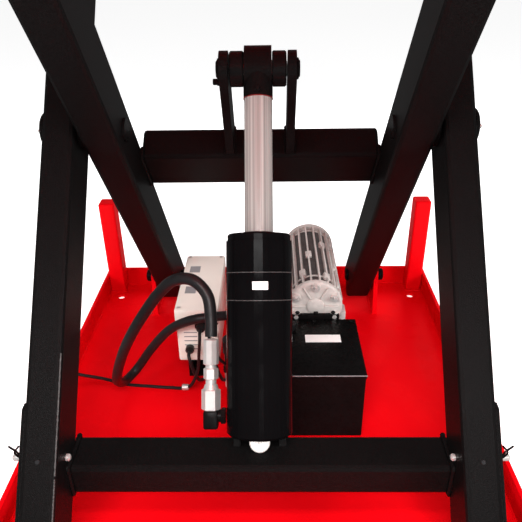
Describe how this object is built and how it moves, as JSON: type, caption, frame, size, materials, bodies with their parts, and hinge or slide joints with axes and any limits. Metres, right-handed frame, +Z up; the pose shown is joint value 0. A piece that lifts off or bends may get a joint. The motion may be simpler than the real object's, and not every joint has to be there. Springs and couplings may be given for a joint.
{
  "type": "scissor lift table",
  "caption": "Single-scissor hydraulic lift table with pan base, two pivoted arm frames, a ram, a power pack and a flat platform.",
  "frame": {"origin": "on the floor under the middle of the platform", "axes": "+Y along the platform towards the fixed end of the scissors, +X across, +Z up"},
  "size_m": [0.86, 1.405, 1.0825],
  "materials": {
    "red_gloss_paint": "gloss red powder coat",
    "black_textured_paint": "fine-textured black powder coat",
    "black_gloss_paint": "smooth gloss black paint",
    "hard_chrome": "polished hard chrome",
    "zinc_plate": "bright zinc plate",
    "cast_aluminium": "as-cast aluminium",
    "cream_enamel": "satin cream enamel",
    "black_rubber": "satin black rubber",
    "machined_steel": "turned steel"
  },
  "bodies": {
    "base": {"base_floor": "red_gloss_paint", "base_wall_far": "red_gloss_paint", "base_wall_near": "red_gloss_paint", "base_wall_left": "red_gloss_paint", "base_wall_right": "red_gloss_paint", "roller_track_left": "red_gloss_paint", "roller_track_right": "red_gloss_paint", "rest_post_left": "red_gloss_paint", "rest_post_right": "red_gloss_paint", "hinge_bracket_left": "red_gloss_paint", "hinge_bracket_right": "red_gloss_paint", "base_hinge_pin_left": "zinc_plate", "base_hinge_pin_right": "zinc_plate", "oil_tank": "black_textured_paint", "pump_block": "black_textured_paint", "motor_body": "cast_aluminium", "motor_end_shield": "cast_aluminium", "control_box": "cream_enamel", "control_box_stand": "black_textured_paint", "cable_gland": "black_rubber", "solenoid_coil": "black_rubber", "hydraulic_hose": "black_rubber", "supply_cable": "black_rubber"},
    "inner_frame": {"inner_arm_left": "black_textured_paint", "inner_arm_right": "black_textured_paint", "inner_cross_tube": "black_textured_paint", "rod_eye_ear_left": "black_textured_paint", "rod_eye_ear_right": "black_textured_paint", "pivot_pin_left": "black_textured_paint", "pivot_pin_right": "black_textured_paint", "upper_roller_axle_left": "zinc_plate", "upper_roller_axle_right": "zinc_plate"},
    "outer_frame": {"outer_arm_left": "black_textured_paint", "outer_arm_right": "black_textured_paint", "outer_cross_tube": "black_textured_paint", "ram_foot_lug_left": "black_textured_paint", "ram_foot_lug_right": "black_textured_paint", "ram_foot_pin": "zinc_plate", "doubler_plate_left": "black_textured_paint", "doubler_plate_right": "black_textured_paint", "lock_pin_left": "zinc_plate", "lock_pin_right": "zinc_plate", "base_roller_axle_left": "zinc_plate", "base_roller_axle_right": "zinc_plate", "platform_hinge_pin_left": "zinc_plate", "platform_hinge_pin_right": "zinc_plate"},
    "base_roller_left": {"base_roller_left": "machined_steel"},
    "base_roller_right": {"base_roller_right": "machined_steel"},
    "upper_roller_left": {"upper_roller_left": "machined_steel"},
    "upper_roller_right": {"upper_roller_right": "machined_steel"},
    "ram_barrel": {"ram_barrel": "black_gloss_paint", "ram_gland": "black_gloss_paint", "hose_fitting": "zinc_plate"},
    "ram_rod": {"ram_rod": "hard_chrome", "rod_eye": "black_textured_paint", "rod_eye_pin": "zinc_plate"},
    "platform": {"platform_deck": "red_gloss_paint", "platform_skirt": "red_gloss_paint", "platform_rail_left": "red_gloss_paint", "platform_rail_right": "red_gloss_paint"}
  },
  "joints": [
    {"name": "scissor_fold", "type": "hinge", "parent": "base", "child": "inner_frame", "pos_m": [0, 0.5708, 0.092], "axis": [1, 0, 0], "range_deg": [0, 46.08], "deforming": ["hydraulic_hose"]},
    {"name": "centre_pivot", "type": "hinge", "parent": "inner_frame", "child": "outer_frame", "pos_m": [0, 0.19754, 0.56176], "axis": [1, 0, 0], "range_deg": [-92.26, 0.1]},
    {"name": "platform_hinge", "type": "hinge", "parent": "outer_frame", "child": "platform", "pos_m": [0, 0.5708, 1.03152], "axis": [1, 0, 0], "range_deg": [-0.1, 46.18]},
    {"name": "ram_foot_hinge", "type": "hinge", "parent": "outer_frame", "child": "ram_barrel", "pos_m": [0, -0.04022, 0.20146], "axis": [1, 0, 0], "range_deg": [-0.1, 9.21]},
    {"name": "rod_slide", "type": "slide", "parent": "ram_barrel", "child": "ram_rod", "axis": [0, 0.5175, 0.8557], "range_m": [-0.099, 0.0005]},
    {"name": "base_roller_left_spin", "type": "hinge", "parent": "outer_frame", "child": "base_roller_left", "pos_m": [-0.334, -0.17573, 0.092], "axis": [1, 0, 0], "continuous": true},
    {"name": "base_roller_right_spin", "type": "hinge", "parent": "outer_frame", "child": "base_roller_right", "pos_m": [0.334, -0.17573, 0.092], "axis": [1, 0, 0], "continuous": true},
    {"name": "upper_roller_left_spin", "type": "hinge", "parent": "inner_frame", "child": "upper_roller_left", "pos_m": [-0.274, -0.17573, 1.03152], "axis": [1, 0, 0], "continuous": true},
    {"name": "upper_roller_right_spin", "type": "hinge", "parent": "inner_frame", "child": "upper_roller_right", "pos_m": [0.274, -0.17573, 1.03152], "axis": [1, 0, 0], "continuous": true}
  ],
  "couplings": [
    {"joint": "centre_pivot", "follows": "scissor_fold", "ratio": -2},
    {"joint": "platform_hinge", "follows": "scissor_fold", "ratio": 1},
    {"joint": "ram_foot_hinge", "follows": "scissor_fold", "ratio": 0.1978},
    {"joint": "rod_slide", "follows": "scissor_fold", "m_per_rad": -0.12244}
  ]
}
